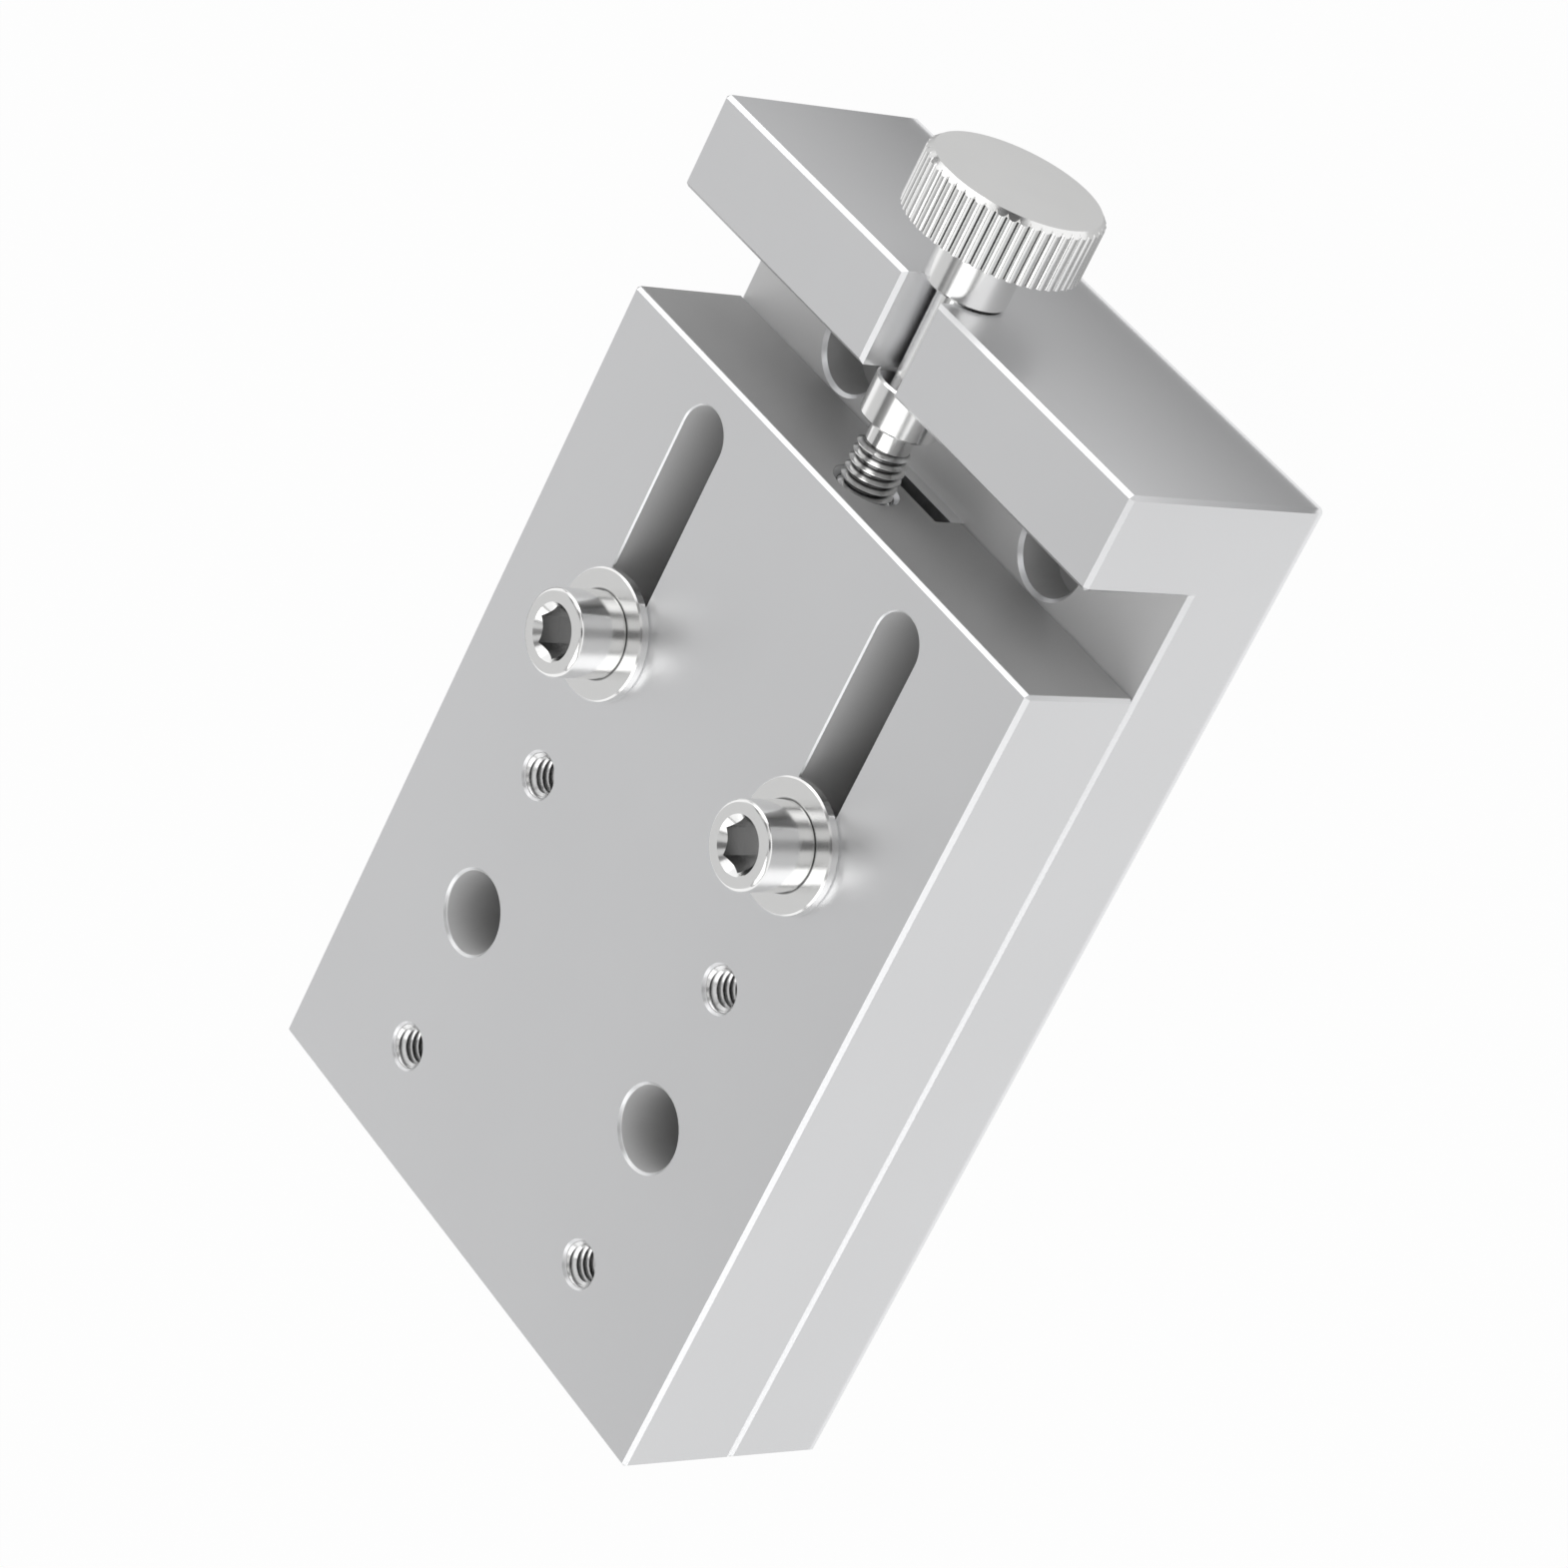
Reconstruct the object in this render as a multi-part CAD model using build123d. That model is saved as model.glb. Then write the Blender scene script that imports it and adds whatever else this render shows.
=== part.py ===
"""Manual linear stage: a slide plate on a ribbed base, moved by a hand screw and clamped in slots.

Sizes are in millimetres. +X runs along the travel towards the knob, +Z up out of the mounting face.
The origin is the centre of the four mounting holes, on the underside of the base.
"""
from build123d import *
import math
import os

# Base plate and its end block, milled from one bar
base_length = 100.0
base_width = 60.0
base_thickness = 10.0
block_thickness = 9.0
edge_chamfer = 0.35

# Slide plate; its front face is flush with the block's, and a cutter's width parts them
slide_thickness = 12.0
relief_gap = 10.0

# Guide: a rib on the base in a deeper groove under the slide
rib_width = 10.0
rib_height = 1.5
groove_depth = 3.3
guide_clearance = 0.03
groove_chamfer = 0.6

# Mounting holes in the base, counterbored for M4 cap screws
mount_spacing_x = 60.0
mount_spacing_y = 30.0
mount_edge = 15.0
mount_hole_diameter = 4.5
mount_head_diameter = 7.5
mount_head_depth = 4.4

# Slide: holes that let a driver reach the far mounting screws, and M4 tapped holes for the load
access_diameter = 7.5
access_chamfer = 0.25
load_spacing_x = 30.0
load_spacing_y = 30.0
load_thread_diameter = 4.0
load_thread_depth = 8.0
drill_point_angle = 118.0
hole_chamfer = 0.25

# Clamp screws, washers and the slots that they hold the slide by
travel = 20.0
slot_width = 5.5
slot_overrun = 0.25
slot_chamfer = 0.15
slot_end_wall = 3.0
clamp_spacing_y = 30.0
clamp_thread_diameter = 5.0
clamp_thread_length = 20.0
clamp_head_diameter = 7.7
clamp_head_height = 5.0
clamp_head_chamfer = 0.25
hex_width = 4.0
hex_depth = 2.5
hex_mouth_diameter = 5.2
hex_turn = 27.0
washer_diameter = 11.6
washer_bore = 5.3
washer_thickness = 1.0
washer_chamfer = 0.15

# Adjusting screw: thread, relief, collar and neck, turned in one piece
screw_axis_height = 17.3
screw_thread_diameter = 5.0
screw_thread_length = 33.0
screw_relief_diameter = 4.0
screw_relief_length = 2.0
collar_diameter = 6.9
collar_length = 3.7
neck_diameter = 4.0
notch_width = 4.7
collar_clearance = 0.2
hub_clearance = 0.1
screw_chamfer = 0.2
screw_tip_chamfer = 0.6
screw_bore_spare = 2.0
screw_bore_chamfer = 0.5

# Knob with straight ribs round its head, pressed on the screw's end
hub_diameter = 7.4
hub_length = 5.0
knob_diameter = 16.0
knob_length = 5.4
knob_chamfer = 0.5
knob_socket_depth = 8.0
rib_count = 49
rib_depth = 0.35

# Running clearance all round between a screw's thread and the tapped hole it turns in
thread_clearance = 0.05

# Stations along X and heights that several pieces share
base_end_x = mount_spacing_x / 2 + mount_edge
base_start_x = base_end_x - base_length
block_face_x = base_end_x - block_thickness
slide_end_x = block_face_x - relief_gap
slide_length = slide_end_x - base_start_x
clamp_x = slide_end_x - slot_end_wall - slot_width / 2 - slot_overrun - travel
stage_top = base_thickness + slide_thickness
access_x = -mount_spacing_x / 2
mount_rows = [-mount_spacing_y / 2, mount_spacing_y / 2]
clamp_rows = [-clamp_spacing_y / 2, clamp_spacing_y / 2]
collar_top_x = block_face_x - collar_clearance
collar_end_x = collar_top_x - collar_length
thread_end_x = collar_end_x - screw_relief_length
screw_tip_x = thread_end_x - screw_thread_length
hub_face_x = base_end_x + hub_clearance
knob_face_x = hub_face_x + hub_length
knob_end_x = knob_face_x + knob_length


def drilled(diameter, depth, mouth_chamfer):
    """A cutter that hangs down from its mouth at the origin, with a chamfered rim."""
    radius = diameter / 2
    hang = (Align.CENTER, Align.CENTER, Align.MAX)
    shaft = Cylinder(radius, depth, align=hang)
    if mouth_chamfer <= 0:
        return shaft
    return shaft + Cone(radius, radius + mouth_chamfer, mouth_chamfer, align=hang)


def blind_tapped(diameter, depth, mouth_chamfer):
    """A drilled cutter that ends in a drill point."""
    radius = diameter / 2
    point_height = radius / math.tan(math.radians(drill_point_angle / 2))
    point = Cone(0, radius, point_height, align=(Align.CENTER, Align.CENTER, Align.MAX))
    return drilled(diameter, depth, mouth_chamfer) + Pos(0, 0, -depth) * point


def turned(*points):
    """A solid of revolution about X, from (x, radius) points along its outline."""
    outline = Polyline((points[0][0], 0), *points, (points[-1][0], 0), close=True)
    return revolve(make_face(outline), Axis.X)


def make_base_plate():
    """Plate, end block and guide rib, with the mounting, clamp and screw seats cut into them."""
    outline = Polyline(
        (base_start_x, 0),
        (base_end_x, 0),
        (base_end_x, stage_top),
        (block_face_x, stage_top),
        (block_face_x, base_thickness),
        (base_start_x, base_thickness),
        close=True,
    )
    bar = extrude(Plane.XZ * make_face(outline), base_width / 2, both=True)
    inner_corner = bar.edges().filter_by(Axis.Y).sort_by_distance((block_face_x, 0, base_thickness))[0]
    bar = chamfer([edge for edge in bar.edges() if edge != inner_corner], edge_chamfer)

    middle_z = base_thickness / 2
    rib_top_z = base_thickness + rib_height
    rib = Pos(base_start_x, 0, middle_z) * Box(
        slide_length, rib_width, rib_top_z - middle_z, align=(Align.MIN, Align.CENTER, Align.MIN)
    )
    plate = bar + rib

    for place in GridLocations(mount_spacing_x, mount_spacing_y, 2, 2):
        plate -= place * Pos(0, 0, base_thickness) * drilled(mount_head_diameter, mount_head_depth, edge_chamfer)
        plate -= place * Pos(0, 0, base_thickness) * drilled(mount_hole_diameter, base_thickness, 0)

    clamp_bore = clamp_thread_diameter + 2 * thread_clearance
    for y in clamp_rows:
        plate -= Pos(clamp_x, y, base_thickness) * drilled(clamp_bore, base_thickness, hole_chamfer)

    return plate - make_notch()


def make_notch():
    """The U notch in the end block, open to the front, with flared front edges."""
    half = notch_width / 2
    flare = half + edge_chamfer
    sides = Polyline(
        (-half, screw_axis_height),
        (-half, stage_top - edge_chamfer),
        (-flare, stage_top),
        (flare, stage_top),
        (half, stage_top - edge_chamfer),
        (half, screw_axis_height),
        close=True,
    )
    outline = make_face(sides) + Pos(0, screw_axis_height) * Circle(half)
    return extrude(Plane.YZ.offset(block_face_x) * outline, block_thickness)


def make_slide_plate():
    """Slide with its groove, slots, tapped load holes, access holes and screw bore."""
    blank = Pos(base_start_x, 0, base_thickness) * Box(
        slide_length, base_width, slide_thickness, align=(Align.MIN, Align.CENTER, Align.MIN)
    )
    slide = chamfer(blank.edges(), edge_chamfer)
    slide -= make_groove()

    top = Pos(0, 0, stage_top)
    for place in GridLocations(load_spacing_x, load_spacing_y, 2, 2):
        slide -= Pos(access_x) * top * place * blind_tapped(load_thread_diameter, load_thread_depth, hole_chamfer)
    for y in mount_rows:
        slide -= Pos(access_x, y) * top * drilled(access_diameter, slide_thickness, access_chamfer)

    slot_centres = travel + 2 * slot_overrun
    slot = extrude(SlotCenterToCenter(slot_centres, slot_width), -slide_thickness)
    slot += extrude(SlotCenterToCenter(slot_centres, slot_width + 2 * slot_chamfer), -slot_chamfer, taper=45)
    for y in clamp_rows:
        slide -= Pos(clamp_x + travel / 2, y) * top * slot

    bore_depth = slide_end_x - screw_tip_x + screw_bore_spare
    bore = drilled(screw_thread_diameter + 2 * thread_clearance, bore_depth, screw_bore_chamfer)
    return slide - Pos(slide_end_x, 0, screw_axis_height) * Rot(0, 90, 0) * bore


def make_groove():
    """The guide groove under the slide, with a chamfered mouth."""
    half = rib_width / 2 + guide_clearance
    mouth = half + groove_chamfer
    outline = Polyline(
        (-mouth, base_thickness),
        (mouth, base_thickness),
        (half, base_thickness + groove_chamfer),
        (half, base_thickness + groove_depth),
        (-half, base_thickness + groove_depth),
        (-half, base_thickness + groove_chamfer),
        close=True,
    )
    return extrude(Plane.YZ.offset(base_start_x) * make_face(outline), slide_length)


def make_adjusting_screw():
    """Thread at its outside diameter, relief, collar, neck through the notch and seat for the knob."""
    thread = screw_thread_diameter / 2
    relief = screw_relief_diameter / 2
    collar = collar_diameter / 2
    neck = neck_diameter / 2
    return turned(
        (screw_tip_x, thread - screw_tip_chamfer),
        (screw_tip_x + screw_tip_chamfer, thread),
        (thread_end_x, thread),
        (thread_end_x, relief),
        (collar_end_x, relief),
        (collar_end_x, collar - screw_chamfer),
        (collar_end_x + screw_chamfer, collar),
        (collar_top_x - screw_chamfer, collar),
        (collar_top_x, collar - screw_chamfer),
        (collar_top_x, neck),
        (hub_face_x + knob_socket_depth, neck),
    )


def rib_outline(rim):
    """Round-topped ribs side by side about the origin, with a sharp valley between each pair."""
    valley = rim - rib_depth
    half_pitch = math.pi / rib_count
    ribs = []
    for number in range(rib_count):
        middle = 2 * half_pitch * number
        points = [(valley, middle - half_pitch), (rim, middle), (valley, middle + half_pitch)]
        ribs.append(ThreePointArc(*[(r * math.cos(angle), r * math.sin(angle)) for r, angle in points]))
    return make_face(ribs)


def make_adjusting_knob():
    """Boss and ribbed head, bored blind for the screw's end."""
    hub = hub_diameter / 2
    rim = knob_diameter / 2
    boss = turned(
        (hub_face_x, hub - screw_chamfer),
        (hub_face_x + screw_chamfer, hub),
        (knob_face_x, hub),
    )
    head = turned(
        (knob_face_x, rim),
        (knob_end_x - knob_chamfer, rim),
        (knob_end_x, rim - knob_chamfer),
    )
    head &= extrude(Plane.YZ.offset(knob_face_x) * rib_outline(rim), knob_length)
    socket = Cylinder(neck_diameter / 2, knob_socket_depth, align=(Align.CENTER, Align.CENTER, Align.MIN))
    body = boss + head - Plane.YZ.offset(hub_face_x) * socket
    return Pos(0, 0, screw_axis_height) * body


def make_clamp_screw():
    """Cap screw with its head's underside at z = 0 and a hexagon socket in the top."""
    shank = Cylinder(
        clamp_thread_diameter / 2, clamp_thread_length, align=(Align.CENTER, Align.CENTER, Align.MAX)
    )
    shank = chamfer(shank.edges().sort_by(Axis.Z)[0], screw_tip_chamfer)
    head = Cylinder(
        clamp_head_diameter / 2, clamp_head_height, align=(Align.CENTER, Align.CENTER, Align.MIN)
    )
    head = chamfer(head.edges().filter_by(GeomType.CIRCLE), clamp_head_chamfer)
    socket = extrude(RegularPolygon(hex_width / 2, 6, major_radius=False, rotation=hex_turn), -hex_depth)
    mouth_radius = hex_mouth_diameter / 2
    mouth_depth = hex_depth / 2
    socket += Cone(
        mouth_radius - mouth_depth, mouth_radius, mouth_depth, align=(Align.CENTER, Align.CENTER, Align.MAX)
    )
    return shank + head - Pos(0, 0, clamp_head_height) * socket


def make_washer():
    """Flat washer that lies on z = 0."""
    disc = Cylinder(washer_diameter / 2, washer_thickness, align=(Align.CENTER, Align.CENTER, Align.MIN))
    bore = Cylinder(washer_bore / 2, washer_thickness, align=(Align.CENTER, Align.CENTER, Align.MIN))
    return chamfer(disc.edges(), washer_chamfer) - bore


def make_parts():
    """Every piece in its place, by the name of its node."""
    right_y, left_y = clamp_rows
    washer_top = stage_top + washer_thickness
    return {
        "base_plate": make_base_plate(),
        "slide_plate": make_slide_plate(),
        "adjusting_screw": Pos(0, 0, screw_axis_height) * make_adjusting_screw(),
        "adjusting_knob": make_adjusting_knob(),
        "clamp_screw_left": Pos(clamp_x, left_y, washer_top) * make_clamp_screw(),
        "clamp_screw_right": Pos(clamp_x, right_y, washer_top) * make_clamp_screw(),
        "washer_left": Pos(clamp_x, left_y, stage_top) * make_washer(),
        "washer_right": Pos(clamp_x, right_y, stage_top) * make_washer(),
    }


os.makedirs("parts", exist_ok=True)
for name, solid in make_parts().items():
    export_step(solid, f"parts/{name}.step")
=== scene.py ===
"""Looks of the manual linear stage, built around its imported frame.

Metres and degrees. +X runs along the travel towards the knob, +Z up out of the mounting face, and the floor
is z = 0.
"""
import math

import bmesh
import bpy
from mathutils import Matrix, Vector


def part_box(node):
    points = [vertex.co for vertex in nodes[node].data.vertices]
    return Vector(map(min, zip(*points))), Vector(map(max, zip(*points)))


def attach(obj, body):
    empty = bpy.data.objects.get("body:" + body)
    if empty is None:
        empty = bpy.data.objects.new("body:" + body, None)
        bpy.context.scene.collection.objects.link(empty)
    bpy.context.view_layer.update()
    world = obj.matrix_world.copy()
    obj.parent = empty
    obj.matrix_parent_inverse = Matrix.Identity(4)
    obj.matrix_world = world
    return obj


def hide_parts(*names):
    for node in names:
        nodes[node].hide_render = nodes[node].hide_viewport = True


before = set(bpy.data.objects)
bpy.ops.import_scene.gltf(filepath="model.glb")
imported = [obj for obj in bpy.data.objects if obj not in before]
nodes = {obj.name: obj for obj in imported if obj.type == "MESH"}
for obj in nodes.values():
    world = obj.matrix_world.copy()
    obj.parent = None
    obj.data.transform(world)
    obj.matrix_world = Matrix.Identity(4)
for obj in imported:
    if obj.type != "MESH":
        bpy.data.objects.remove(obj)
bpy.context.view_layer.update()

MM = 0.001


def span(name, axis):
    """Where a CAD node begins and ends along an axis, to the nearest micrometre."""
    index = "XYZ".index(axis)
    return [round(corner[index], 6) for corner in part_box(name)]


# Camera, as solved from the photograph's edges; the sensor's width is in millimetres
photo_pixels = 1570
focal_pixels = 5593.65
sensor_width = 36.0
camera_place = Vector((203.951, -288.737, 329.843)) * MM
camera_right = Vector((0.40711, -0.53039, -0.74361))
camera_up = Vector((0.80290, 0.59594, 0.01452))
camera_clip = (0.01, 20.0)

# Plates, as the frame gives them
start_x, base_end_x = span("base_plate", "X")
half_width = span("base_plate", "Y")[1]
slide_end_x = span("slide_plate", "X")[1]
base_top, stage_top = span("slide_plate", "Z")

# Guide under the slide, and the chamfer round every outer edge and counterbore
rib_height = 1.5 * MM
groove_depth = 3.3 * MM
edge_chamfer = 0.35 * MM

# Metric coarse threads, as (outside diameter, pitch), and their outline as shares of the pitch
thread_m4 = (4.0 * MM, 0.7 * MM)
thread_m5 = (5.0 * MM, 0.8 * MM)
thread_depth_share = 0.6134
crest_share = 0.125
flank_share = 0.354
outline_turns = (0.0, crest_share, crest_share + flank_share, 1.0 - flank_share)
root_radius_m5 = thread_m5[0] / 2 - thread_depth_share * thread_m5[1]

# Adjusting screw, whose thread's crests are a little under size as rolled ones are
screw_tip_x, neck_end_x = span("adjusting_screw", "X")
screw_axis_z = 17.3 * MM
thread_end_x = 30.1 * MM
collar_end_x = 32.1 * MM
collar_top_x = 35.8 * MM
collar_radius = 3.45 * MM
collar_chamfer = 0.2 * MM
neck_radius = 2.0 * MM
relief_radius = 2.0 * MM
crest_shortfall = 0.06 * MM
thread_run_out = 0.5 * MM

# Tips of both kinds of screw
tip_chamfer = 0.6 * MM
tip_flat_share = 0.6

# Clamp screws
clamp_rows = {side: sum(span(f"washer_{side}", "Y")) / 2 for side in ("left", "right")}
head_seat_z = span("washer_left", "Z")[1]
clamp_length = head_seat_z - span("clamp_screw_left", "Z")[0]
head_height = span("clamp_screw_left", "Z")[1] - head_seat_z
head_radius = 3.85 * MM
head_chamfer = 0.25 * MM
head_edge_round = 0.06 * MM
hex_half_width = 2.0 * MM
hex_depth = 2.5 * MM
hex_mouth_radius = 2.6 * MM
hex_turn = 27.0
plain_shank_end = 0.6 * MM

# Tapped holes
load_centre_x = -30.0 * MM
load_spacing = 30.0 * MM
load_thread_length = 7.0 * MM
load_hole_depth = 8.0 * MM
drill_slope = 31.0
drill_point_share = 0.02
hole_chamfer = 0.25 * MM
skin_gap = 0.03 * MM
screw_bore_depth = 30.9 * MM
screw_bore_chamfer = 0.5 * MM
thread_clearance = 0.05 * MM

# Turned and tapped skins
ring_count = 96
ring_angles = [math.tau * step / ring_count for step in range(ring_count)]
weld_distance = 1e-7
least_edge = 1e-8
crease_angle = 25.0

# Satin aluminium: tones and roughness of the outer faces, then of the milled faces inside the outline, whose
# tones darken downwards as painted shade in the recesses
satin_tones = (0.80, 0.84)
satin_green_share = 1.004
satin_blue_share = 1.015
satin_roughness = (0.29, 0.37)
satin_grain_scale = 7000.0
satin_grain_height = 0.004 * MM
satin_grain_strength = 0.15
satin_cloud_scale = 45.0
outer_skin = 0.4 * MM
rim_spare = 0.01 * MM
milled_roughness = 0.5
base_milled_shade_tones = (0.2, 0.88)
base_milled_metal = 0.45
slide_milled_shade_tones = (0.36, 0.96)
slide_milled_metal = 0.3
# Tone of the slide's end face, darker as painted shade from the block that it faces
end_face_shade_tone = 0.515
end_face_depth = 0.05 * MM

# Bright cut threads, with painted shade in their roots below an unshaded mouth
cut_root_shade_tones = (0.95, 0.14)
cut_metal = 0.85
cut_roughness = (0.18, 0.26)
unshaded_mouth_m4 = 0.7 * MM
unshaded_mouth_m5 = 0.9 * MM

# Polished steel
steel_shades = ((0.90, 0.90, 0.8955, 1.0), (0.94, 0.93812, 0.9306, 1.0))
steel_roughness = (0.15, 0.21)
steel_ring_scale = 4000.0
steel_cloud_scale = 300.0

# Painted shade in the steel's grooves and seams, each with the radii where it is darkest and where it ends
painted_shade_level = 0.2
painted_shade_margin = 0.1 * MM
clamp_painted_shade = (root_radius_m5, 2.25 * MM)
screw_painted_shade = (root_radius_m5, 2.2 * MM)
knob_painted_shade = (7.67 * MM, 7.84 * MM)
# On each washer, a ring of painted shade round the foot of the screw head
washer_painted_shade = (head_radius + 0.05 * MM, head_radius + 0.2 * MM)
knob_rib_end_x = 55.0 * MM

# Broached walls of the hexagon sockets, dark grey as painted shade inside the sockets
socket_shade_tones = (0.27, 0.33)
broached_roughness = 0.25
fine_grain_scale = 5000.0

# Floor and sky; the floor's glow is what the camera and the metal see of it
floor_half = 2.0
floor_tone = 0.9
floor_glow_share = 0.96
sky_level = 0.635
mirrored_horizon = (0.36, 0.52)

# Lamps and matt cards round the stage: azimuth, elevation, distance, width, height and level. A lamp's level
# of 1 reflects as white.
softboxes = {
    "key_softbox": (-137.0, 48.0, 0.60, 0.44, 0.56, 1.25),
    "side_softbox": (24.0, 34.0, 0.60, 0.50, 0.40, 0.90),
}
matt_cards = {
    "key_rim": (-137.0, 48.0, 0.62, 0.60, 0.72, 0.30),
    "roof_card": (155.0, 62.0, 0.61, 0.24, 0.24, 0.25),
    "side_back": (38.0, 44.0, 0.63, 0.27, 0.21, 0.05),
    "side_rim": (12.0, 46.0, 0.62, 0.38, 0.30, 0.30),
    "viewer_flag": (-54.0, 42.0, 0.62, 0.20, 0.30, 0.15),
    "low_flag": (-17.0, 9.0, 0.62, 0.20, 0.26, 0.10),
    "corner_flag": (59.0, 7.0, 0.62, 0.09, 0.09, 0.15),
}

# Glowing grey cards that lie close beside the stage, painted reflections of a dimmer floor that only the
# metal sees: reach along X, reach along Y and level
floor_card_height = 0.5 * MM
past_block_x = base_end_x + 0.2 * MM
past_side_y = half_width + 0.2 * MM
under_knob_x = 63.0 * MM
cards_start_x = -90.0 * MM
cards_end_x = 200.0 * MM
cards_far_y = 260.0 * MM
cards_near_y = -230.0 * MM
even_floor_cards = {
    "knob_card": ((under_knob_x, cards_end_x), (-5.0 * MM, cards_far_y), 0.62),
    "far_side_card": ((cards_start_x, past_block_x), (past_side_y, cards_far_y), 0.40),
    "side_card": ((cards_start_x, past_block_x), (cards_near_y, -past_side_y), 0.79),
}
# The end card is darker next to the block, as a painted shadow of the stage on the floor
end_card_reach_y = (-75.0 * MM, cards_far_y)
end_card_fade_x = (46.0 * MM, 60.0 * MM)
end_card_levels = (0.35, 0.60)


def add_object(name, data, place=None):
    """A new object in the scene, at a place if one is given."""
    thing = bpy.data.objects.new(name, data)
    bpy.context.scene.collection.objects.link(thing)
    if place is not None:
        thing.matrix_world = place
    return thing


def thread_height(phase):
    """Share of the thread's depth that stands at a place along one pitch: 1 on the crest, 0 in the root."""
    if phase < crest_share:
        return 1.0
    if phase < crest_share + flank_share:
        return 1.0 - (phase - crest_share) / flank_share
    if phase < 1.0 - flank_share:
        return 0.0
    return (phase - 1.0 + flank_share) / flank_share


class Skin:
    """Rings of points about the local +Z axis, joined into a skin and welded at the end."""

    def __init__(self, inward=False):
        self.mesh = bmesh.new()
        self.inward = inward
        self.material_index = 0

    def point(self, radius, angle, z):
        return self.mesh.verts.new((radius * math.cos(angle), radius * math.sin(angle), z))

    def face(self, corners):
        face = self.mesh.faces.new(list(reversed(corners)) if self.inward else corners)
        face.material_index = self.material_index

    def lathe(self, stations):
        """Joins rings given as (z, radius)."""
        rings = [[self.point(radius, angle, z) for angle in ring_angles] for z, radius in stations]
        for low, high in zip(rings, rings[1:]):
            self.join(low, high)
        return rings

    def join(self, low, high):
        """Faces between two rings of the same count."""
        for step in range(ring_count):
            after = (step + 1) % ring_count
            self.face([low[step], low[after], high[after], high[step]])

    def cap(self, ring, faces_up):
        """Closes a ring with one flat face."""
        self.face(ring if faces_up else ring[::-1])

    def helix(self, start, end, pitch, radius_at):
        """A right-hand helical skin from start to end, with radius_at(z, phase) along it."""
        turns = math.ceil((end - start) / pitch) + 1
        rows = [(turn, share) for turn in range(turns + 1) for share in outline_turns]
        columns = []
        for step, angle in enumerate(ring_angles):
            column = []
            for turn, share in rows:
                z = start + pitch * (turn - 1 + share) + pitch * step / ring_count
                phase = share
                if not start <= z <= end:
                    z = min(max(z, start), end)
                    phase = ((z - start) / pitch - step / ring_count) % 1.0
                column.append(self.point(radius_at(z, phase), angle, z))
            columns.append(column)
        for step in range(ring_count):
            wraps = step + 1 == ring_count
            here = columns[step]
            there = columns[0][len(outline_turns):] if wraps else columns[step + 1]
            for row in range(min(len(here), len(there)) - 1):
                self.face([here[row], there[row], there[row + 1], here[row + 1]])

    def finish(self, name, place, body, materials):
        """Welds the skin, puts it in place and lets it ride on its body."""
        bmesh.ops.remove_doubles(self.mesh, verts=self.mesh.verts, dist=weld_distance)
        bmesh.ops.dissolve_degenerate(self.mesh, edges=self.mesh.edges, dist=least_edge)
        mesh = bpy.data.meshes.new(name)
        self.mesh.to_mesh(mesh)
        self.mesh.free()
        mesh.shade_smooth()
        mesh.set_sharp_from_angle(angle=math.radians(crease_angle))
        for material in materials:
            mesh.materials.append(material)
        piece = add_object(name, mesh, place)
        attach(piece, body)
        return piece


def along_x(x, z):
    """Stands a local +Z axis along +X at a height."""
    return Matrix.Translation((x, 0, z)) @ Matrix.Rotation(math.pi / 2, 4, "Y")


class Shading:
    """A short way to lay out the nodes of a material or of the sky."""

    def __init__(self, owner):
        owner.use_nodes = True
        self.tree = owner.node_tree
        self.tree.nodes.clear()

    def add(self, kind, inputs=None, **settings):
        """A node whose inputs are other nodes' outputs or plain values."""
        node = self.tree.nodes.new(kind)
        for key, value in settings.items():
            setattr(node, key, value)
        for key, value in (inputs or {}).items():
            if isinstance(value, bpy.types.NodeSocket):
                self.tree.links.new(value, node.inputs[key])
            else:
                node.inputs[key].default_value = value
        return node

    def place(self):
        """Where a point of the surface lies in its own object."""
        return self.add("ShaderNodeTexCoord").outputs["Object"]

    def split(self, vector):
        """The vector's parts, by the names of the axes."""
        return self.add("ShaderNodeSeparateXYZ", {"Vector": vector}).outputs

    def calculate(self, operation, *values, **settings):
        node = self.add("ShaderNodeMath", dict(enumerate(values)), operation=operation, **settings)
        return node.outputs[0]

    def distance(self, x, y):
        """How far a point lies from an axis."""
        flat = self.add("ShaderNodeCombineXYZ", {"X": x, "Y": y}).outputs["Vector"]
        return self.add("ShaderNodeVectorMath", {0: flat}, operation="LENGTH").outputs["Value"]

    def ramp(self, value, levels, reach=(0.0, 1.0)):
        """Runs from one level to the other while the value runs through its reach."""
        return self.add("ShaderNodeMapRange", {
            "Value": value,
            "From Min": reach[0],
            "From Max": reach[1],
            "To Min": levels[0],
            "To Max": levels[1],
        }).outputs["Result"]

    def noise(self, vector, scale, detail=2.0):
        inputs = {"Vector": vector, "Scale": scale, "Detail": detail}
        return self.add("ShaderNodeTexNoise", inputs).outputs["Fac"]

    def mix(self, factor, first, second, kind="FLOAT"):
        """The first value where the factor is 0 and the second where it is 1."""
        inputs = {"Factor": factor, "A": first, "B": second}
        return self.add("ShaderNodeMix", inputs, data_type=kind).outputs["Result"]

    def metal(self, colour, metallic, roughness, **more):
        """The surface itself, of a metal or nearly one."""
        shader = self.add("ShaderNodeBsdfPrincipled", {
            "Base Color": colour,
            "Metallic": metallic,
            "Roughness": roughness,
            **more,
        })
        self.show(shader.outputs["BSDF"])

    def show(self, surface):
        """Makes a surface the one that the material shows."""
        self.add("ShaderNodeOutputMaterial", {"Surface": surface})


def grey(level):
    return (level, level, level, 1.0)


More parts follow.
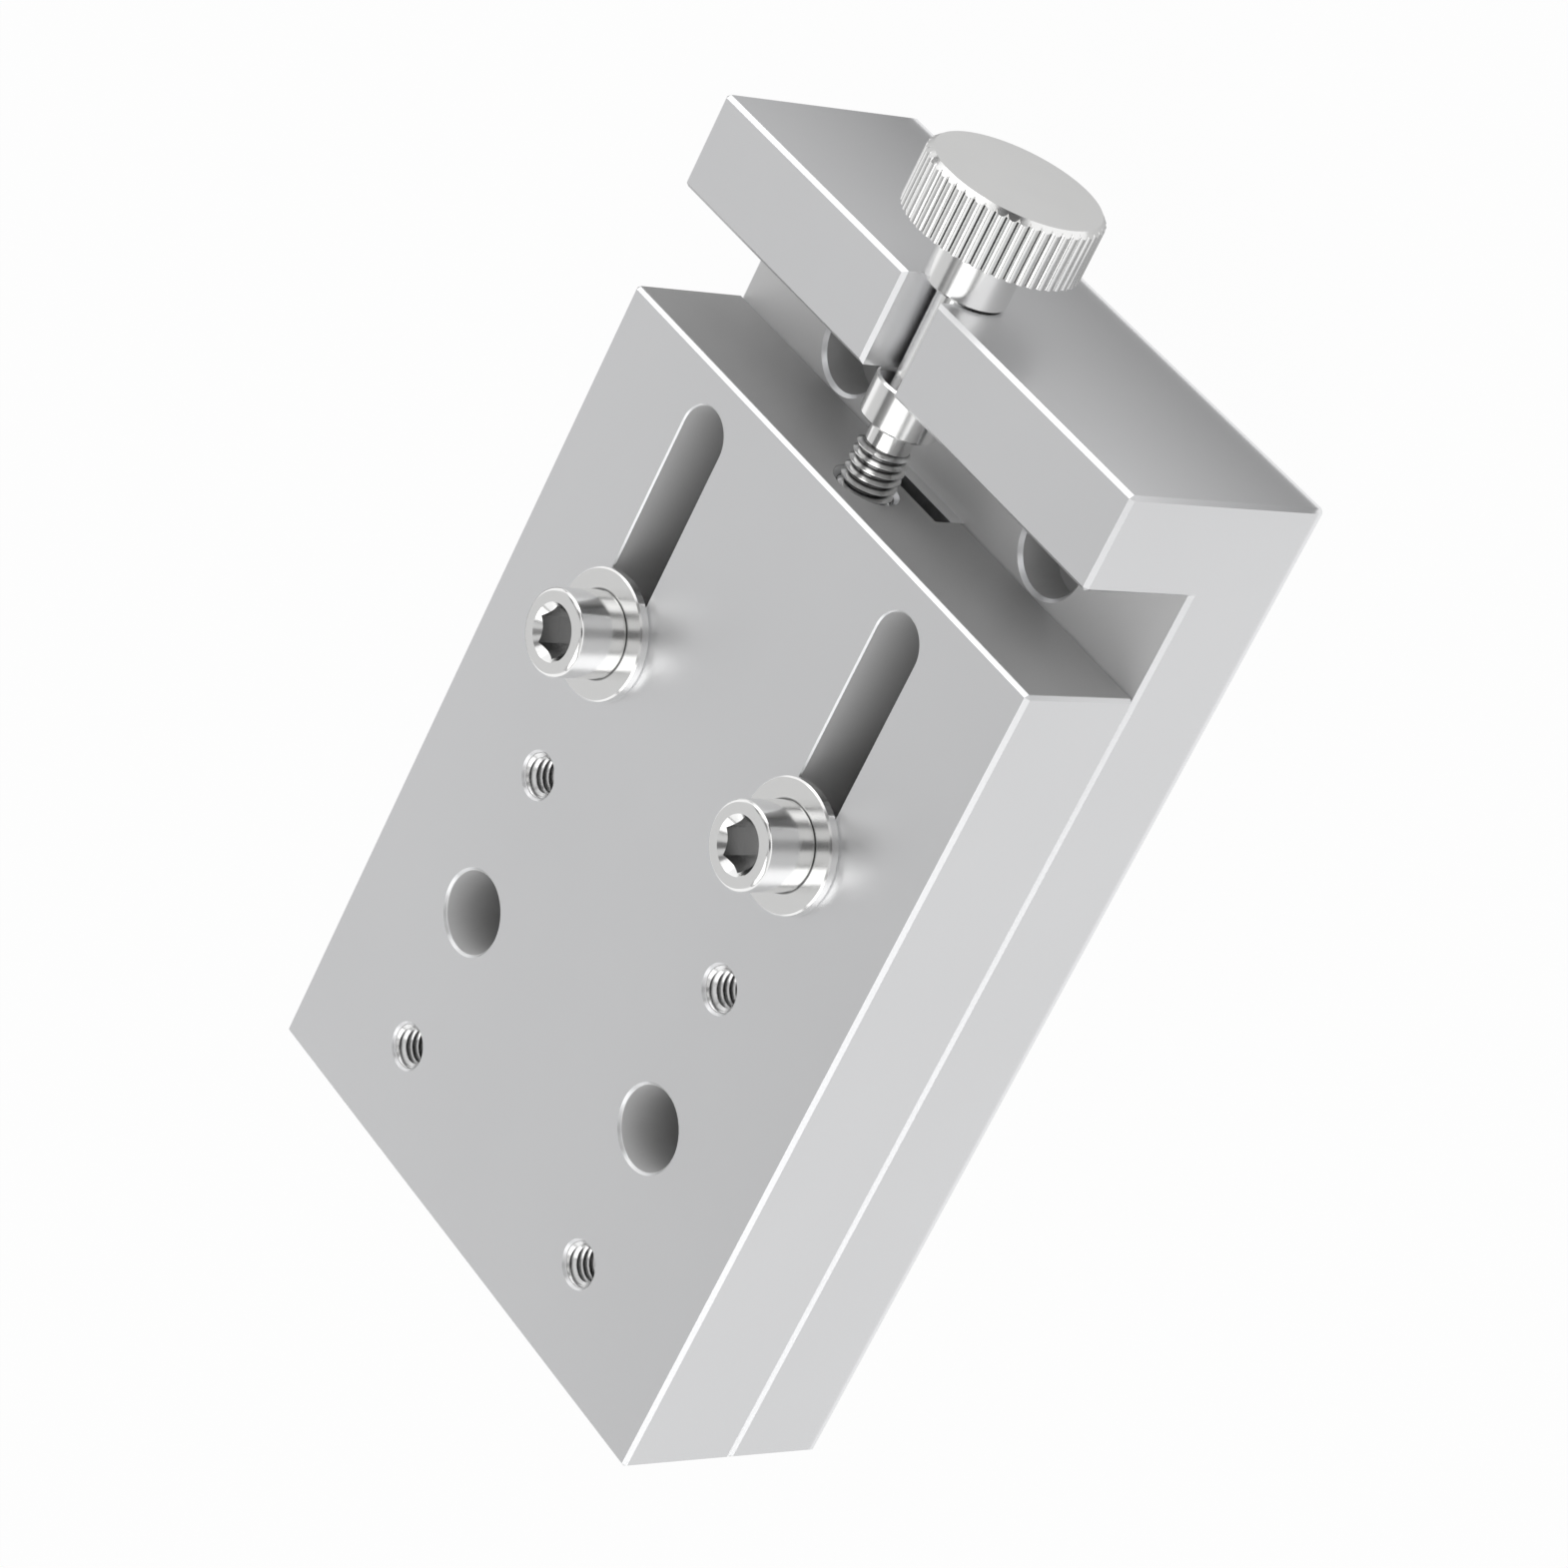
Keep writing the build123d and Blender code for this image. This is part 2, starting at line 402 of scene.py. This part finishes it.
def satin_aluminium(name, end_x, milled_reach, milled_shade_tones, milled_metal, milled_end_x=None):
    """Clear anodised aluminium with a fine even grain, for a plate that ends at end_x.

    The faces inside its outline are milled rougher. Their tone runs darker lower down through a reach of
    heights, as painted shade in the recesses. The end face at milled_end_x, if there is one, is milled too
    and has one darker tone, as painted shade from the block in front of it.
    """
    material = bpy.data.materials.new(name)
    n = Shading(material)
    place = n.place()
    parts = n.split(place)
    middle_x = (start_x + end_x) / 2
    middle_z = (milled_reach[0] + milled_reach[1]) / 2
    within_x = n.calculate("COMPARE", parts["X"], middle_x, end_x - middle_x - outer_skin)
    within_y = n.calculate("COMPARE", parts["Y"], 0.0, half_width - outer_skin)
    within_z = n.calculate("COMPARE", parts["Z"], middle_z, milled_reach[1] - middle_z)
    inside = n.calculate("MULTIPLY", n.calculate("MULTIPLY", within_x, within_y), within_z)
    on_rim = n.calculate("COMPARE", parts["Z"], base_top - edge_chamfer / 2, edge_chamfer / 2 - rim_spare)
    milled = n.calculate("SUBTRACT", inside, on_rim, use_clamp=True)
    # Painted shade: the milled faces turn darker towards the bottom of their reach
    milled_shade_tone = n.ramp(parts["Z"], milled_shade_tones, milled_reach)
    if milled_end_x is not None:
        on_end = n.calculate("COMPARE", parts["X"], milled_end_x, end_face_depth)
        milled = n.calculate("MAXIMUM", milled, on_end)
        # The end face takes one darker tone, painted shade from the block that it faces
        milled_shade_tone = n.mix(on_end, milled_shade_tone, end_face_shade_tone)

    grain = n.noise(place, satin_grain_scale)
    tone = n.ramp(n.noise(place, satin_cloud_scale, detail=3.0), satin_tones)
    outer = n.add("ShaderNodeCombineColor", {
        "Red": tone,
        "Green": n.calculate("MULTIPLY", tone, satin_green_share),
        "Blue": n.calculate("MULTIPLY", tone, satin_blue_share),
    }).outputs["Color"]
    bump = n.add("ShaderNodeBump", {
        "Strength": satin_grain_strength,
        "Distance": satin_grain_height,
        "Height": grain,
    })
    n.metal(
        n.mix(milled, outer, milled_shade_tone, "RGBA"),
        n.ramp(milled, (1.0, milled_metal)),
        n.mix(milled, n.ramp(grain, satin_roughness), milled_roughness),
        Normal=bump.outputs["Normal"],
    )
    return material


def polished_steel(name, painted_shade_radii, painted_shade_end=None, centre=(0.0, 0.0, 0.0), turn_axis="Z"):
    """Bright steel, turned about an axis through centre, with painted shade darkening its grooves.

    The painted shade thins out between its two radii, and ends at painted_shade_end along the axis if that is
    given.
    """
    material = bpy.data.materials.new(name)
    n = Shading(material)
    local = n.add("ShaderNodeVectorMath", {0: n.place(), 1: centre}, operation="SUBTRACT").outputs["Vector"]
    parts = n.split(local)
    along = parts[turn_axis]
    radius = n.distance(*[parts[axis] for axis in "XYZ" if axis != turn_axis])
    ring_place = n.add("ShaderNodeCombineXYZ", {"X": along, "Y": radius}).outputs["Vector"]
    unshaded_steel = n.mix(n.noise(local, steel_cloud_scale), *steel_shades, "RGBA")
    # Painted shade in the grooves and seams, darkest at the first radius and gone at the second
    painted_shade = n.calculate("GREATER_THAN", radius, painted_shade_radii[0] - painted_shade_margin)
    if painted_shade_end is not None:
        painted_shade = n.calculate("MULTIPLY", painted_shade, n.calculate("LESS_THAN", along, painted_shade_end))
    painted_shade = n.calculate("MULTIPLY", painted_shade, n.ramp(radius, (1.0, 0.0), painted_shade_radii))
    roughness = n.ramp(n.noise(ring_place, steel_ring_scale, detail=1.0), steel_roughness)
    n.metal(n.mix(painted_shade, unshaded_steel, grey(painted_shade_level), "RGBA"), 1.0, roughness)
    return material


def tapped_aluminium(name, size, spare, unshaded_mouth):
    """Bright cut threads about the local Z axis, with painted shade in their roots below the mouth."""
    material = bpy.data.materials.new(name)
    n = Shading(material)
    place = n.place()
    parts = n.split(place)
    root = size[0] / 2 + spare
    crest = root - thread_depth_share * size[1]
    depth = n.ramp(n.distance(parts["X"], parts["Y"]), (0.0, 1.0), ((crest + root) / 2, root))
    # Painted shade: the thread's roots turn dark below the mouth
    below = n.calculate("LESS_THAN", parts["Z"], -unshaded_mouth)
    roughness = n.ramp(n.noise(place, fine_grain_scale), cut_roughness)
    n.metal(n.ramp(n.calculate("MULTIPLY", depth, below), cut_root_shade_tones), cut_metal, roughness)
    return material


def shaded_socket_steel():
    """Steel with a fine grain, dark grey as painted shade, for the walls of the hexagon sockets."""
    material = bpy.data.materials.new("shaded_socket_steel")
    n = Shading(material)
    # Painted shade: the socket walls are dark grey
    tone = n.ramp(n.noise(n.place(), fine_grain_scale), socket_shade_tones)
    n.metal(tone, 1.0, broached_roughness)
    return material


def paint(name, material):
    """Gives a CAD node its finished material."""
    piece = nodes[name]
    for seat in piece.material_slots:
        seat.material = material
    if not piece.material_slots:
        piece.data.materials.append(material)


def rod_radius(crest, pitch, tip, plain_from, plain_radius):
    """Radius of an outside thread along its rod, chamfered at the tip and fading to a plain radius."""
    depth = thread_depth_share * pitch

    def radius_at(z, phase):
        fade = min(max((plain_from - z) / thread_run_out, 0.0), 1.0)
        threaded = crest - depth * (1.0 - thread_height(phase))
        radius = plain_radius + (threaded - plain_radius) * fade
        return min(radius, crest - tip_chamfer + (z - tip))

    return radius_at


def threaded_rod(skin, crest, pitch, tip, plain_from, plain_radius):
    """A rod with a flat chamfered tip, threaded up to where it turns plain."""
    rings = skin.lathe([(tip, tip_flat_share * crest), (tip, crest - tip_chamfer)])
    skin.cap(rings[0], faces_up=False)
    skin.helix(tip, plain_from, pitch, rod_radius(crest, pitch, tip, plain_from, plain_radius))


def make_adjusting_screw(steel):
    """The threaded rod with its relief, collar and neck."""
    skin = Skin()
    crest = thread_m5[0] / 2 - crest_shortfall
    threaded_rod(skin, crest, thread_m5[1], screw_tip_x, thread_end_x, relief_radius)
    rings = skin.lathe([
        (thread_end_x, relief_radius),
        (collar_end_x, relief_radius),
        (collar_end_x, collar_radius - collar_chamfer),
        (collar_end_x + collar_chamfer, collar_radius),
        (collar_top_x - collar_chamfer, collar_radius),
        (collar_top_x, collar_radius - collar_chamfer),
        (collar_top_x, neck_radius),
        (neck_end_x, neck_radius),
    ])
    skin.cap(rings[-1], faces_up=True)
    place = along_x(0, screw_axis_z)
    piece = skin.finish("adjusting_screw_thread", place, "hand_screw", [steel])
    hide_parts("adjusting_screw")


def hexagon_radius(angle):
    """Radius of the hexagon socket, which has a corner on the local +X axis."""
    from_flat = (angle % (math.pi / 3)) - math.pi / 6
    return hex_half_width / math.cos(from_flat)


def make_clamp_screw(side, steel, broached):
    """Socket head cap screw, threaded along its shank."""
    skin = Skin()
    crest = thread_m5[0] / 2
    plain_from = -plain_shank_end
    threaded_rod(skin, crest, thread_m5[1], -clamp_length, plain_from, crest)
    head = skin.lathe([
        (plain_from, crest),
        (0.0, crest),
        (0.0, head_radius - head_chamfer),
        (head_chamfer, head_radius),
        (head_height - head_chamfer - head_edge_round, head_radius),
        (head_height - head_chamfer + head_edge_round, head_radius - head_edge_round),
        (head_height - head_edge_round, head_radius - head_chamfer + head_edge_round),
        (head_height, head_radius - head_chamfer - head_edge_round),
        (head_height, hex_mouth_radius),
    ])
    lip = []
    floor = []
    for angle in ring_angles:
        radius = hexagon_radius(angle)
        lip.append(skin.point(radius, angle, head_height - (hex_mouth_radius - radius)))
        floor.append(skin.point(radius, angle, head_height - hex_depth))
    skin.join(head[-1], lip)
    skin.material_index = 1
    skin.join(lip, floor)
    skin.material_index = 0
    skin.cap(floor, faces_up=True)
    place = Matrix.Translation((0, clamp_rows[side], head_seat_z))
    place @= Matrix.Rotation(math.radians(hex_turn), 4, "Z")
    piece = skin.finish(
        f"clamp_screw_{side}_thread", place, f"{side}_clamp", [steel, broached]
    )
    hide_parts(f"clamp_screw_{side}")


def tapped_hole(skin, foot, pitch, major, mouth_radius):
    """A tapped hole's skin from its foot up to the cone that opens its mouth at z = 0."""
    depth = thread_depth_share * pitch - skin_gap

    def radius_at(z, phase):
        return min(max(major - depth * thread_height(phase), mouth_radius + z), major)

    skin.helix(foot, major - mouth_radius, pitch, radius_at)


def make_load_thread(number, x, y, aluminium):
    """The thread and drilled end of one tapped hole for the load."""
    skin = Skin(inward=True)
    radius = thread_m4[0] / 2
    major = radius - skin_gap
    minor = major - thread_depth_share * thread_m4[1] + skin_gap
    rings = skin.lathe([
        (-load_hole_depth - minor * math.tan(math.radians(drill_slope)), drill_point_share * minor),
        (-load_hole_depth, minor),
        (-load_thread_length, minor),
    ])
    skin.cap(rings[0], faces_up=False)
    tapped_hole(skin, -load_thread_length, thread_m4[1], major, radius + hole_chamfer)
    place = Matrix.Translation((x, y, stage_top))
    skin.finish(f"load_thread_{number}", place, "slide", [aluminium])


def make_m5_hole(name, place, body, depth, mouth_chamfer, aluminium):
    """A tapped hole, with running clearance, that an M5 screw turns in."""
    skin = Skin(inward=True)
    bore = thread_m5[0] / 2 + thread_clearance
    tapped_hole(skin, skin_gap - depth, thread_m5[1], bore - skin_gap, bore + mouth_chamfer)
    skin.finish(name, place, body, [aluminium])


def on_sky(azimuth, elevation, distance):
    """A place around the stage."""
    a = math.radians(azimuth)
    e = math.radians(elevation)
    return Vector((math.cos(e) * math.cos(a), math.cos(e) * math.sin(a), math.sin(e))) * distance


def facing_stage(place):
    """Stands at a place with -Z towards the stage."""
    return Matrix.Translation(place) @ (-place).to_track_quat("-Z", "Y").to_matrix().to_4x4()


def sheet(name, reach_x, reach_y, height=0.0):
    """A flat rectangle that faces up."""
    low_x, high_x = reach_x
    low_y, high_y = reach_y
    corners = [
        (low_x, low_y, height),
        (high_x, low_y, height),
        (high_x, high_y, height),
        (low_x, high_y, height),
    ]
    mesh = bpy.data.meshes.new(name)
    mesh.from_pydata(corners, [], [(0, 1, 2, 3)])
    return mesh


def softbox(name, azimuth, elevation, distance, width, height, level):
    """An area lamp that looks at the stage."""
    lamp = bpy.data.lights.new(name, "AREA")
    lamp.shape = "RECTANGLE"
    lamp.size = width
    lamp.size_y = height
    lamp.energy = level * math.pi * width * height
    box = add_object(name, lamp, facing_stage(on_sky(azimuth, elevation, distance)))
    box.visible_camera = False


def matt_card(name, azimuth, elevation, distance, width, height, level):
    """A matt card that the camera doesn't see, as a dark edge in what the metal reflects."""
    mesh = sheet(name, (-width / 2, width / 2), (-height / 2, height / 2))
    material = bpy.data.materials.new(name)
    n = Shading(material)
    n.show(n.add("ShaderNodeBsdfDiffuse", {"Color": grey(level)}).outputs["BSDF"])
    mesh.materials.append(material)
    board = add_object(name, mesh, facing_stage(on_sky(azimuth, elevation, distance)))
    board.visible_camera = False


def floor_card(name, reach_x, reach_y, level, fade_x=None, far_level=None):
    """A grey card on the floor that only the metal reflects, as a painted reflection of a dimmer floor; its
    level can fade to another one along X.
    """
    mesh = sheet(name, reach_x, reach_y, floor_card_height)
    material = bpy.data.materials.new(name)
    n = Shading(material)
    strength = level
    if fade_x is not None:
        strength = n.ramp(n.split(n.place())["X"], (level, far_level), fade_x)
    glow = n.add("ShaderNodeEmission", {"Color": grey(1.0), "Strength": strength})
    n.show(glow.outputs["Emission"])
    mesh.materials.append(material)
    board = add_object(name, mesh)
    board.visible_camera = False
    board.visible_diffuse = False
    board.visible_shadow = False


def make_floor():
    """A plain white floor that keeps the stage's shadow."""
    mesh = sheet("floor", (-floor_half, floor_half), (-floor_half, floor_half))
    material = bpy.data.materials.new("white_floor")
    n = Shading(material)
    rays = n.add("ShaderNodeLightPath").outputs
    seen = n.calculate("MAXIMUM", rays["Is Camera Ray"], rays["Is Glossy Ray"])
    seen = n.calculate("MAXIMUM", seen, rays["Is Transmission Ray"])
    both = n.add("ShaderNodeMixShader", {
        0: n.calculate("MULTIPLY", seen, floor_glow_share),
        1: n.add("ShaderNodeBsdfDiffuse", {"Color": grey(floor_tone)}).outputs["BSDF"],
        2: n.add("ShaderNodeEmission", {"Color": grey(1.0), "Strength": 1.0}).outputs["Emission"],
    })
    n.show(both.outputs["Shader"])
    mesh.materials.append(material)
    add_object("floor", mesh)


def make_world():
    """A soft grey sky, which the camera sees as white and the metal as white near the horizon."""
    world = bpy.data.worlds.new("studio")
    bpy.context.scene.world = world
    n = Shading(world)
    rays = n.add("ShaderNodeLightPath").outputs
    height = n.split(n.add("ShaderNodeTexCoord").outputs["Generated"])["Z"]
    near_horizon = n.ramp(height, (1.0, 0.0), mirrored_horizon)
    mirrored = n.calculate("MULTIPLY", near_horizon, rays["Is Glossy Ray"])
    white = n.calculate("MAXIMUM", mirrored, rays["Is Camera Ray"])
    sky = n.add("ShaderNodeBackground", {"Color": grey(1.0), "Strength": n.ramp(white, (sky_level, 1.0))})
    n.add("ShaderNodeOutputWorld", {"Surface": sky.outputs["Background"]})


def make_camera():
    """The photograph's camera."""
    lens = bpy.data.cameras.new("camera")
    lens.sensor_width = sensor_width
    lens.lens = focal_pixels * sensor_width / photo_pixels
    lens.clip_start, lens.clip_end = camera_clip
    right = camera_right.normalized()
    back = right.cross(camera_up).normalized()
    up = back.cross(right)
    turn = Matrix((right, up, back)).transposed().to_4x4()
    bpy.context.scene.camera = add_object("camera", lens, Matrix.Translation(camera_place) @ turn)


def make_plates():
    """Finishes of the two plates. The rib's top and the groove's faces count as outer ones."""
    base_reach = (outer_skin, base_top + rib_height - outer_skin / 2)
    base = satin_aluminium(
        "satin_aluminium_base", base_end_x, base_reach, base_milled_shade_tones, base_milled_metal
    )
    paint("base_plate", base)
    slide_reach = (base_top + groove_depth + outer_skin / 2, stage_top - outer_skin / 2)
    slide = satin_aluminium(
        "satin_aluminium_slide", slide_end_x, slide_reach, slide_milled_shade_tones, slide_milled_metal, slide_end_x
    )
    paint("slide_plate", slide)


def make_clamps(cut):
    """The clamp screws, each with its washer and its tapped hole."""
    steel = polished_steel("polished_steel_clamps", clamp_painted_shade, 0.0)
    broached = shaded_socket_steel()
    for side, y in clamp_rows.items():
        washer_steel = polished_steel(f"polished_steel_washer_{side}", washer_painted_shade, centre=(0.0, y, 0.0))
        paint(f"washer_{side}", washer_steel)
        make_clamp_screw(side, steel, broached)
        place = Matrix.Translation((0, y, base_top))
        make_m5_hole(f"clamp_thread_{side}", place, "base", base_top, hole_chamfer, cut)


def make_hand_screw(cut):
    """The knob, the adjusting screw and the tapped bore that it turns in."""
    knob_centre = (0.0, 0.0, screw_axis_z)
    knob_steel = polished_steel("polished_steel_knob", knob_painted_shade, knob_rib_end_x, knob_centre, "X")
    paint("adjusting_knob", knob_steel)
    make_adjusting_screw(polished_steel("polished_steel_screw", screw_painted_shade, thread_end_x))
    place = along_x(slide_end_x, screw_axis_z)
    make_m5_hole("screw_bore_thread", place, "slide", screw_bore_depth, screw_bore_chamfer, cut)


def make_load_threads():
    """The threads of the four tapped holes for the load."""
    cut = tapped_aluminium("satin_aluminium_m4", thread_m4, 0.0, unshaded_mouth_m4)
    offsets = (-load_spacing / 2, load_spacing / 2)
    corners = [(load_centre_x + x, y) for x in offsets for y in offsets]
    for number, (x, y) in enumerate(corners, start=1):
        make_load_thread(number, x, y, cut)


def make_studio():
    """Floor, sky, lamps, cards and camera."""
    make_floor()
    make_world()
    for name, setting in softboxes.items():
        softbox(name, *setting)
    for name, setting in matt_cards.items():
        matt_card(name, *setting)
    end_card_reach_x = (past_block_x, under_knob_x)
    near_level, far_level = end_card_levels
    floor_card("end_card", end_card_reach_x, end_card_reach_y, near_level, end_card_fade_x, far_level)
    for name, setting in even_floor_cards.items():
        floor_card(name, *setting)
    make_camera()


make_plates()
cut_m5 = tapped_aluminium("satin_aluminium_m5", thread_m5, thread_clearance, unshaded_mouth_m5)
make_clamps(cut_m5)
make_hand_screw(cut_m5)
make_load_threads()
make_studio()

scene = bpy.context.scene
scene.view_settings.view_transform = "Standard"
